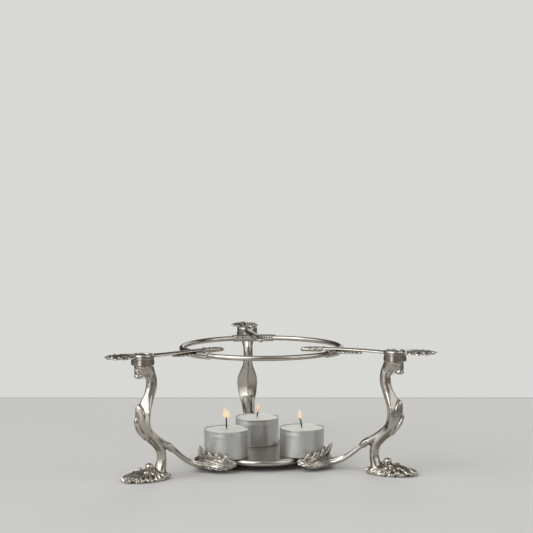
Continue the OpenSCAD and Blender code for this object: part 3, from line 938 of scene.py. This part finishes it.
    def lay_foot(self, cast: Casting) -> None:
        """Lays in the lobes, knobs and ribs of the leaf foot, and the ball behind its sheath.

        Args:
            cast: The mould.
        """
        x0 = STAND.head_r - 2.4
        a, b = self.foot_size
        for tier, (count, share, z, size, tilt) in enumerate(self.foot_tiers):
            for k in range(count):
                t = 2 * pi * (k + 0.5 * (tier % 2)) / count
                stray = sin(7.3 * k + 2.1 * tier)
                out = Vector((cos(t) / a, sin(t) / b, 0)).normalized()
                mid = Vector((x0 + share * a * cos(t), share * b * sin(t), z + 0.35 * stray))
                grow = 1.0 + 0.12 * stray
                cast.leaflet(mid, (out.x, out.y + 0.12 * stray, tilt), tuple(v * grow for v in size))
        for k, (x, y, r) in enumerate(self.foot_knobs):
            cast.lobe((x0 + x, y, 8.6 - 0.3 * x), (1, 0.3 * sin(2.0 * k), 0), (2.6 * r, 2 * r, 2 * r))
        for count, inner, outer, high, low in self.foot_ribs:
            for k in range(count):
                t = 2 * pi * (k + 0.3 * sin(3.1 * k)) / count
                rise = 0.4 * sin(5.3 * k)
                stops = ((inner, 0.16, high + rise),
                         (mix(inner, outer, 0.4), 0.05, mix(high, low, 0.30) + rise),
                         (mix(inner, outer, 0.75), -0.02, mix(high, low, 0.62)), (outer, -0.06, low))
                cast.rod([(x0 + share * a * cos(t + bend), share * b * sin(t + bend), z)
                          for share, bend, z in stops], [0.5, 0.9, 1.0, 0.5], sides=8)
        ball = Vector((STAND.head_r - 5.9, 0, 11.0))
        cast.lobe(ball, (0, 0, 1), self.ball)
        for k in range(6):
            t = 2 * pi * k / 6 + 0.3
            cast.lobe(ball + Vector((3.8 * cos(t), 4.0 * sin(t), -3.6)), (cos(t), sin(t), -0.5),
                      (4.2, 3.0, 2.8))
        for y, z, way in ((-4.4, 8, 0.4), (4.4, 8, -0.4)):
            cast.lobe((STAND.head_r - 15.4, y, z), (0.1, way, 1), (9.0, 3.4, 2.6), (0, 1, 0))
        cast.rod([(x0 + 2, 0, 8.8), (x0 + 9, 0, 7.0), (x0 + 16, 0, 4.7), (x0 + 21.5, 0, 3.0)],
                 [1.2, 1.1, 0.9, 0.6])

    def beside(self, a: float, out: float, z: float) -> Point:
        """A point beside the tealight.

        Args:
            a: Its angle around the tealight, from the leg's side.
            out: Its distance from the tealight's wall.
            z: Its height over the plate.

        Returns:
            The point in the drawing frame.
        """
        far, t = STAND.light_d / 2 + out, radians(a)
        return (STAND.light_r + far * cos(t), far * sin(t), STAND.plate_z + z)

    def lay_ribs(self, cast: Casting) -> None:
        """Lays in the ribs that sweep around the tealight.

        Args:
            cast: The mould.
        """
        at = self.beside
        for k in range(25):
            e = 6.2 * (k - 12)
            near = 1 - ease((abs(e) - 50) / 40)
            rim = mix(3.6, 6.8, near)
            cast.rod([at(e, 2.5, 2.0 * near + 0.7 * sin(2.9 * k)), at(e, 0.62 * rim, -0.9),
                      at(e, 0.86 * rim, -3.2), at(e, rim, mix(-3.6, -5.6, near))],
                     [0.9, 1.35, 1.35, 1.0], sides=8)
        for s in (-1, 1):
            for k, e in enumerate(self.fan):
                stray = sin(4.7 * k + 1.3 * s)
                rim = mix(4.8, 7.6, 1 - ease((e - 50) / 40))
                cast.rod([at(s * 4, 8.4, -3.4), at(s * 0.45 * e, 7.6, -2.8),
                          at(s * 0.8 * e, rim + 0.2, -4.0 + 0.4 * stray),
                          at(s * (e - 1 + 2 * stray), rim + 1.5 + 0.5 * stray, -6.0 + 0.7 * stray)],
                         [0.7, 0.95, 1.15, 0.35])
                cast.rod([at(s * 5, 7.4, -2.2), at(s * 0.5 * e, 6.4, -1.6),
                          at(s * 0.86 * e, rim - 0.6, -2.2 - 0.3 * stray),
                          at(s * (e + 4 - 2 * stray), rim + 0.7 - 0.4 * stray, -3.2 - 0.6 * stray)],
                         [0.6, 0.9, 1.1, 0.35])
                cast.rod([at(s * 0.35 * e, 6.4, -1.4), at(s * 0.7 * e, 4.8, -0.4),
                          at(s * (e - 2), 3.2 + 0.3 * stray, 1.6 + 0.8 * stray)], [0.6, 1.05, 0.55])
                cast.rod([at(s * 0.6 * e, 7.2, -6.2), at(s * (e - 4), 0.96 * rim, -6.4),
                          at(s * (e + 3), 0.9 * rim, -6.0)], [0.7, 1.05, 0.5])
                cast.lobe(at(s * (e - 4), 4.1, 0.1), (0, 0, 1), (2.4, 2.0, 2.0))

    def lay_prongs(self, cast: Casting) -> None:
        """Lays in the leaflets of the cradle's rim and the tips that stand up there.

        Args:
            cast: The mould.
        """
        for k in range(13):
            e = 10.0 * (k - 6)
            rise = 1 - ease((abs(e) - 20) / 45)
            out = Vector((cos(radians(e)), sin(radians(e)), 0))
            side = Vector((-out.y, out.x, 0)) * (0.45 * sin(4.0 * k))
            cast.leaflet(self.beside(e, 3.7, 0.2 + 1.3 * rise), out * 0.3 + side + Vector((0, 0, 1)),
                         (7.4, 5.8, 2.2), out)
        for a, tall, wide, bend in self.prongs:
            out = Vector((cos(radians(a)), sin(radians(a)), 0))
            foot = Vector((STAND.light_r, 0, STAND.plate_z - 1.5)) + out * (STAND.light_d / 2 + 2.5)
            tip = foot + Vector((0, 0, tall + 1.5)) + out * (bend * tall)
            side = Vector((-out.y, out.x, 0))
            mid = foot.lerp(tip, 0.5) + out * (0.08 * tall)
            cast.lobe(mid, tip - foot, ((tip - foot).length, wide, 2.3), out)
            cast.lobe(mid + out * 0.6, tip - foot, ((tip - foot).length * 0.9, wide * 0.28, 2.0), out)
            for s in (-1, 1):
                low = foot.lerp(tip, 0.24) + side * (s * wide * 0.42) + out * 0.5
                cast.lobe(low, (tip - foot) + side * (s * 0.35 * tall),
                          (0.62 * tall + 1.5, wide * 0.6, 1.9), out)

    def taper_cradle(self, cast: Casting) -> None:
        """Draws the two ends of the cradle in, so that they run out beside the plate's rim.

        Args:
            cast: The mould.
        """
        for vert in cast.bm.verts:
            x, y, z = vert.co
            out = Vector((x - STAND.light_r, y))
            angle = degrees(atan2(abs(out.y), out.x))
            if self.cradle_end < angle < 120 and 17.5 < out.length < 34 and z < 20:
                vert.co.z = mix(z, self.cradle_end_z, 0.66 * ease((angle - self.cradle_end) / 36))

    def carve_cradle(self, cast: Casting) -> None:
        """Cuts the fine lines that sweep along the face of the cradle.

        Args:
            cast: The mould, with its forms already fused.
        """
        face = STAND.light_d / 2 + 2.6
        for vert in cast.bm.verts:
            x, y, z = vert.co
            out = Vector((x - STAND.light_r, y))
            far = out.length
            if not (face < far < 36 and z < 11.5 and x > STAND.light_r - 5):
                continue
            angle = degrees(atan2(abs(out.y), out.x))
            depth = ease((far - face) / 1.4) * ease((11.5 - z) / 2) * ease((36 - far) / 6)
            wave = sin(2 * pi * (z / self.line_pitch + angle / 26 + 0.2 * sin(angle / 7)))
            push = self.line_depth * depth * wave / far
            vert.co.x += push * out.x
            vert.co.y += push * out.y


@dataclass
class Arms:
    """The three cast arms: a disc, an outer leaf and a bar with a leafy inner end."""

    voxel: float = 0.33
    bead_r: float = 8.25
    leaf_x: float = 143.5
    leaf_size: tuple[float, float] = (13.2, 12.8)
    leaf_tiers: tuple[tuple, ...] = (
        (11, 0.72, 104.7, (8.0, 6.0, 2.2)), (7, 0.42, 105.3, (7.2, 5.2, 2.0)))
    crown: float = 0.45
    bar: list[tuple[float, float, float, float]] = field(default_factory=lambda: [
        (112.6, 0.0, 103.1, 4.7), (104.4, 0.5, 103.35, 4.3), (93.8, 1.1, 103.55, 4.0),
        (81.8, 0.3, 103.8, 3.84), (69.0, -1.1, 103.85, 3.84), (56.2, -2.5, 103.55, 3.65),
        (50.0, -3.2, 103.15, 4.5), (45.0, -3.65, 102.85, 4.8), (41.6, -3.85, 102.7, 3.6)])

    def build(self, finish: bpy.types.Material) -> None:
        """Casts one arm and shows it at the three places.

        Args:
            finish: The material of the casting.
        """
        cast = Casting()
        cast.solid("arm_back", Place.BACK)
        cast.rod([(STAND.head_r + self.bead_r * cos(t), self.bead_r * sin(t), STAND.disc_top + 0.35)
                  for t in (pi * k / 12 for k in range(25))], [0.95] * 25)
        self.lay_leaf(cast)
        self.lay_bar(cast)
        show_casting(cast.fuse("arm_skin", self.voxel, 2), "arm_casting", finish, "arm")

    def lay_leaf(self, cast: Casting) -> None:
        """Lays in the lobes, the midrib and the veins of the outer leaf.

        Args:
            cast: The mould.
        """
        x0 = self.leaf_x
        a, b = self.leaf_size
        for tier, (count, share, z, size) in enumerate(self.leaf_tiers):
            for k in range(count):
                t = 2 * pi * (k + 0.5 * tier) / count
                if cos(t) < -0.82:
                    continue
                stray = sin(6.1 * k + tier)
                out = Vector((cos(t), sin(t) + 0.1 * stray, 0))
                mid = Vector((x0 + share * a * cos(t), share * b * sin(t), z))
                cast.leaflet(mid, (out.x, out.y, -0.05), tuple(v * (1 + 0.08 * stray) for v in size))
        for k in range(10):
            t = 2 * pi * (k + 0.5) / 10
            cast.lobe((x0 + 9.8 * cos(t), 9.4 * sin(t), 105.4), (1, 0, 0), (1.9, 1.9, 1.7))
        cast.rod([(130.5, 0, 104.6), (137, 0, 105.8), (146, 0, 106.0), (154.0, 0, 105.0)],
                 [1.3, 1.1, 0.9, 0.6])
        for k in range(5):
            cast.lobe((x0 - 3 + 1.7 * k, 0, 106.0), (1, 0, 0), (2.1, 2.3, 1.6))
        cast.lobe((x0 + 12.4, 0, 105.3), (1, 0, 0.06), (6.4, 4.0, 1.5))

    def lay_bar(self, cast: Casting) -> None:
        """Lays in the crown and the rolled edges of the bar and the leaflets of its inner end.

        Args:
            cast: The mould.
        """
        bar, tip = self.bar[:6], self.bar[5:]
        cast.rod([(x, y, z + self.crown) for x, y, z, w in bar], [0.9 * w for x, y, z, w in bar],
                 flat=0.30, sides=16)
        for s in (-1, 1):
            cast.rod([(x, y + s * (w - 0.8), z + self.crown) for x, y, z, w in bar],
                     [0.6, 0.55, 0.5, 0.5, 0.5, 0.4], sides=8)
        cast.rod([(x, y, z + 1.3) for x, y, z, w in tip], [0.5, 0.8, 0.8, 0.6], sides=8)
        for x, y, z, w in tip:
            for s in (-1, 1):
                cast.leaflet((x + 1.2, y + s * 0.5 * w, z + 0.9), (-1, s * 0.9, -0.05), (5.2, 3.8, 2.2))
                cast.leaflet((x - 1.0, y + s * 0.52 * w, z + 0.4), (-1, s * 0.7, -0.05), (4.6, 3.2, 2.2))
        for x, y in ((54, -2.8), (49, -3.3), (44.5, -3.7)):
            cast.lobe((x, y, 101.9), (1, -0.1, 0), (7.0, 6.0, 2.4))
        cast.lobe((40.6, -3.9, 102.5), (1, 0, 0), (5.0, 5.6, 3.8))


@dataclass
class Wraps:
    """The three leaves that wrap the ring below the arms."""

    voxel: float = 0.33
    half_angle: float = 14.2
    veins: tuple[tuple[float, float], ...] = (
        (-20, 0.35), (-75, 0.35), (235, -0.35), (190, -0.35), (28, 0.35), (150, -0.35))
    tips: tuple[tuple[float, float], ...] = ((90, 0.98), (20, 0.80), (-60, 0.92), (200, 0.84), (140, 0.9))

    def build(self, finish: bpy.types.Material) -> None:
        """Casts one leaf wrap and shows it at the three places.

        Args:
            finish: The material of the casting.
        """
        cast = Casting()
        cast.solid("ring_wrap_back", Place.BACK)
        for k in range(-7, 8):
            a = radians(self.half_angle * k / 7.4)
            size = 1.0 - 0.4 * abs(k) / 7
            for turn, spin in self.veins:
                if turn in (28, 150) and abs(k) < 3:
                    continue
                at, face = self.on_ring(a, turn, 2.75)
                cast.lobe(at, Vector((-sin(a), cos(a), 0)) + Vector((cos(a), sin(a), 0))
                          * (spin * (1 if k >= 0 else -1)), (4.2 * size, 2.3 * size, 1.7 * size), face)
        for s in (-1, 1):
            for k, (turn, share) in enumerate(self.tips):
                a = radians(s * self.half_angle * share)
                at, face = self.on_ring(a, turn, 2.5)
                cast.lobe(at, Vector((-sin(a), cos(a), 0)) * s, (8.0 - 0.5 * k, 2.4, 1.3), face)
        z = STAND.ring_z + 0.1
        cast.rod([(70.5, 0, z + 0.2), (80, 0.5, z + 0.3), (90, 0.9, z + 0.1)], [0.9, 0.8, 0.5])
        for k in range(5):
            for s in (-1, 1):
                cast.lobe((73 + 3.4 * k, s * (4.6 - 0.7 * k) + 0.3, z - 0.1), (1, s * 0.6, 0),
                          (5.2, 2.3, 1.8))
        show_casting(cast.fuse("wrap_skin", self.voxel, 2), "ring_leaf", finish, "ring_wrap")

    def on_ring(self, a: float, turn: float, out: float) -> tuple[Point, Vector]:
        """A point on the wrapped ring.

        Args:
            a: Its angle around the stand, in radians.
            turn: Its angle around the ring's rod, in degrees.
            out: Its distance from the rod's middle.

        Returns:
            The point, and the direction that the surface faces there.
        """
        t = radians(turn)
        r = STAND.ring_r + out * cos(t)
        at = (r * cos(a), r * sin(a), STAND.ring_z + out * sin(t))
        return at, Vector((cos(t) * cos(a), cos(t) * sin(a), sin(t)))


@dataclass
class Tealights:
    """The three tealights: a drawn foil cup, a little uneven, and the wax in it."""

    steps: int = 120
    dents: tuple[tuple[float, int, int], ...] = ((0.10, 3, 1), (0.06, 7, 2), (0.035, 13, 3))
    cup: list[tuple[float, float]] = field(default_factory=lambda: [
        (0.0, 0.0), (9.0, 0.0), (18.0, 0.0), (18.55, 0.12), (18.9, 0.45), (19.05, 1.0), (19.05, 6.0),
        (19.05, 12.0), (19.05, 17.0), (19.05, 18.8), (19.1, 19.0), (19.05, 19.2), (19.05, 19.9),
        (19.1, 20.1), (19.05, 20.3), (19.05, 22.6), (19.1, 23.2), (19.22, 23.6), (19.2, 23.9),
        (19.02, 24.0), (18.85, 23.9), (18.78, 23.5), (18.75, 22.0), (18.75, 1.0), (18.4, 0.3),
        (9.0, 0.3), (0.0, 0.3)])
    wax: list[tuple[float, float]] = field(default_factory=lambda: [
        (0.0, 0.4), (18.0, 0.4), (18.6, 1.2), (18.6, 22.9), (18.55, 23.25), (18.3, 23.1), (17.6, 22.95),
        (15.0, 22.9), (11.0, 22.85), (7.0, 22.8), (3.0, 22.75), (1.2, 22.85), (0.5, 23.0), (0.0, 23.05)])

    def build(self) -> None:
        """Spins the cups and the wax and shows them in their finishes."""
        for k, place in enumerate(Place):
            t = radians(place.value)
            at = (STAND.light_r * MM * cos(t), STAND.light_r * MM * sin(t))
            for part, piece, outline, finish, slot in (("cup", "foil_cup", self.cup, Foil, "foil"),
                                                       ("wax", "paraffin", self.wax, Wax, "wax")):
                show(self.spin(part, outline, at, 0.9 * k + 0.4), f"{piece}_{place.suffix}",
                     finish(f"{slot}_{place.suffix}", at).make(), slot, f"tealight_{part}_{place.suffix}")

    def spin(self, name: str, outline: Sequence[tuple[float, float]], at: tuple[float, float],
             phase: float) -> bpy.types.Mesh:
        """Spins an outline and dents it a little, most at the rim.

        Args:
            name: The mesh's name.
            outline: The outline, as radius and height in millimetres.
            at: The middle of the tealight, in metres.
            phase: Where around the cup its dents lie.

        Returns:
            The mesh, in metres, at its place.
        """
        bm = bmesh.new()
        spin_outline(bm, outline, self.steps)
        close_up(bm)
        for vert in bm.verts:
            x, y, z = vert.co
            r = Vector((x, y)).length
            t = atan2(y, x) if r > 1.0 else 0.0
            high, edge = ease(z / STAND.light_h), ease(r / 19.0)
            wave = sum(deep * sin(n * t + m * phase) for deep, n, m in self.dents)
            grow = 1.0 + wave * high * edge / 19.0
            vert.co = Vector((x * grow, y * grow, z + 0.05 * high * sin(5 * t + phase) * edge))
        return finished(bm, name, (at[0] / MM, at[1] / MM, STAND.plate_z))


@dataclass
class Flames:
    """The three candle flames, each of nested shells that thin out at the edge."""

    steps: int = 24
    shells: tuple[float, ...] = (1.0, 0.86, 0.72, 0.56, 0.38)
    outline: tuple[tuple[float, float], ...] = (
        (0.0, 0.0), (0.55, 0.06), (0.92, 0.2), (1.0, 0.34), (0.86, 0.52), (0.56, 0.72),
        (0.24, 0.9), (0.0, 1.0))
    wax_top: float = 33.1
    # Height, radius, lean, height over the wax and shift aside of each flame
    sizes: dict[Place, tuple[float, ...]] = field(default_factory=lambda: {
        Place.FRONT_LEFT: (11.0, 2.4, -1.4, 10.0, 0.2),
        Place.FRONT_RIGHT: (8.8, 1.9, -0.4, 8.4, -1.6),
        Place.BACK: (8.0, 1.7, -0.1, 5.6, 1.0)})

    def build(self, finish: bpy.types.Material) -> None:
        """Spins each flame's outline and leans it. The one at the front left has two tongues.

        Args:
            finish: The material of the flames.
        """
        for place, (tall, wide, lean, rise, aside) in self.sizes.items():
            bm = bmesh.new()
            tongues = [(0.0, 1.0, lean)]
            if place is Place.FRONT_LEFT:
                tongues = [(-0.7, 1.0, lean), (1.5, 0.72, -1.2)]
            for shift, part, bend in tongues:
                for share in self.shells:
                    spin_outline(bm, [(share * part * wide * r, tall * part * (0.3 + (h - 0.3) * share))
                                      for r, h in self.outline], self.steps)
                for vert in (v for v in bm.verts if not v.tag):
                    vert.tag = True
                    vert.co.x += shift + bend * max(vert.co.z / tall, 0.0) ** 1.4
            close_up(bm)
            t = radians(place.value)
            mesh = finished(bm, "flame", (STAND.light_r * cos(t) + aside, STAND.light_r * sin(t),
                                          self.wax_top + rise))
            show(mesh, f"flame_{place.suffix}", finish, "wax")


@dataclass(frozen=True)
class Kept:
    """The CAD nodes whose shape is right, with the finish that each gets."""

    web_r: float = 0.0405
    fixings: tuple[str, ...] = ("plate_rivets", "arm_screws")

    def dress(self, turned: bpy.types.Material, wick: bpy.types.Material) -> None:
        """Gives each kept node its finish.

        Args:
            turned: The material of the drawn ring.
            wick: The material of the wicks.
        """
        self.paint("support_ring", turned)
        # The plate's web inside web_r is duller and carries painted shade.
        self.paint("candle_plate", TurnedPlate("plated_plate", dull_r=self.web_r).make())
        collar = TurnedPlate("plated_collar", polish=0.10).make()
        # The screws and rivets are painted darker than the rest: painted shade of the recesses the screws
        # sit in, on a duller finish.
        dull = TurnedPlate("plated_fixings", colour(0.30, 0.28, 0.25), colour(0.16, 0.145, 0.125),
                           polish=0.3).make()
        for name in self.fixings:
            self.paint(name, dull)
        for place in Place:
            self.paint(f"collar_{place.suffix}", collar)
            self.paint(f"tealight_wick_{place.suffix}", wick)

    def paint(self, name: str, material: bpy.types.Material) -> None:
        """Puts one material on a node.

        Args:
            name: The node's name.
            material: Its finish.
        """
        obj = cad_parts[name]
        if obj.material_slots:
            for slot in obj.material_slots:
                slot.material = material
        else:
            obj.data.materials.append(material)
        LOG.info("%s keeps its shape", name)


@dataclass(frozen=True)
class Lamp:
    """One soft square lamp that shines at the stand, and whether the metal mirrors it."""

    name: str
    at: Point
    size: float
    power: float
    mirrored: bool = True

    def hang(self) -> None:
        """Hangs the lamp."""
        light = bpy.data.lights.new(self.name, "AREA")
        light.shape = "SQUARE"
        light.size = self.size
        light.energy = self.power
        lamp = bpy.data.objects.new(self.name, light)
        lamp.location = self.at
        lamp.visible_glossy = self.mirrored
        way = Vector((0, 0, 0.05)) - Vector(self.at)
        lamp.rotation_euler = way.to_track_quat("-Z", "Y").to_euler()
        bpy.context.scene.collection.objects.link(lamp)


@dataclass
class Studio:
    """The floor, the background, the lamps and the camera."""

    eye: Point = (-0.1639, -1.4520, 0.2925)
    look: Point = (0.1146, 0.9900, -0.0824)
    lens: float = 36.0 * 1700 / 533
    lamps: tuple[Lamp, ...] = (Lamp("key", (-0.95, -0.8, 1.15), 1.5, 12.0),
                               Lamp("fill", (1.2, -0.8, 0.8), 1.3, 3.6),
                               Lamp("rim", (0.3, 1.3, 1.3), 0.8, 7.0, mirrored=False))

    def build(self) -> None:
        """Sets the studio up."""
        self.lay_floor()
        self.light_world()
        for lamp in self.lamps:
            lamp.hang()
        self.place_camera()
        bpy.context.scene.view_settings.view_transform = "Standard"

    def lay_floor(self) -> None:
        """Lays the floor."""
        bm = bmesh.new()
        bmesh.ops.create_grid(bm, x_segments=2, y_segments=2, size=6.0)
        mesh = bpy.data.meshes.new("floor")
        bm.to_mesh(mesh)
        bm.free()
        mesh.materials.append(FloorPaint().make())
        floor = bpy.data.objects.new("floor", mesh)
        bpy.context.scene.collection.objects.link(floor)

    def light_world(self) -> None:
        """Lights the world: plain to the camera, with soft boxes around and overhead for the metal."""
        world = bpy.data.worlds.new("studio")
        bpy.context.scene.world = world
        world.use_nodes = True
        graph = Graph(world.node_tree)
        x, y, z = graph.parts(graph.node("ShaderNodeTexCoord", out="Generated"))
        front = (y * -1.0).step(-0.15, 0.55)
        room = graph.blend(front, colour(0.055, 0.050, 0.045), colour(0.25, 0.24, 0.225))
        above = (z * 0.85 - x * 0.5).step(0.40, 0.92)
        room = graph.blend(above * 0.85, room, colour(0.54, 0.54, 0.53))
        wall = y.step(0.10, 0.45) * (1.0 - z.step(0.34, 0.50)) * x.step(0.055, 0.105)
        room = graph.blend(wall * 0.9, room, colour(0.82, 0.82, 0.80))
        left = (x * -0.85 - y * 0.34 + z * 0.32).step(0.55, 0.95)
        room = graph.blend(left, room, colour(1.55, 1.55, 1.53))
        right = (x * 0.66 - y * 0.38 + z * 0.64).step(0.74, 0.96)
        room = graph.blend(right * 0.6, room, colour(1.1, 1.1, 1.08))
        seen = graph.node("ShaderNodeLightPath", out="Is Camera Ray")
        shown = graph.blend(seen, room, BACKDROP)
        back = graph.node("ShaderNodeBackground", {}, {"Color": shown, "Strength": 1.0})
        out = world.node_tree.nodes.new("ShaderNodeOutputWorld")
        world.node_tree.links.new(back.socket, out.inputs["Surface"])

    def place_camera(self) -> None:
        """Places the camera where the photograph was taken from."""
        data = bpy.data.cameras.new("camera")
        data.sensor_width = 36.0
        data.lens = self.lens
        data.clip_start = 0.01
        data.clip_end = 50.0
        camera = bpy.data.objects.new("camera", data)
        camera.location = self.eye
        camera.rotation_euler = Vector(self.look).to_track_quat("-Z", "Y").to_euler()
        bpy.context.scene.collection.objects.link(camera)
        bpy.context.scene.camera = camera


def main() -> None:
    """Builds the pieces in order."""
    logging.basicConfig(level=logging.INFO)
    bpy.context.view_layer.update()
    wick = Wick().make()
    casting = CastPlate().make()
    turned = TurnedPlate().make()
    Studio().build()
    Legs().build(casting)
    Arms().build(casting)
    Wraps().build(casting)
    Tealights().build()
    Flames().build(Fire().make())
    Kept().dress(turned, wick)


if __name__ == "__main__":
    main()
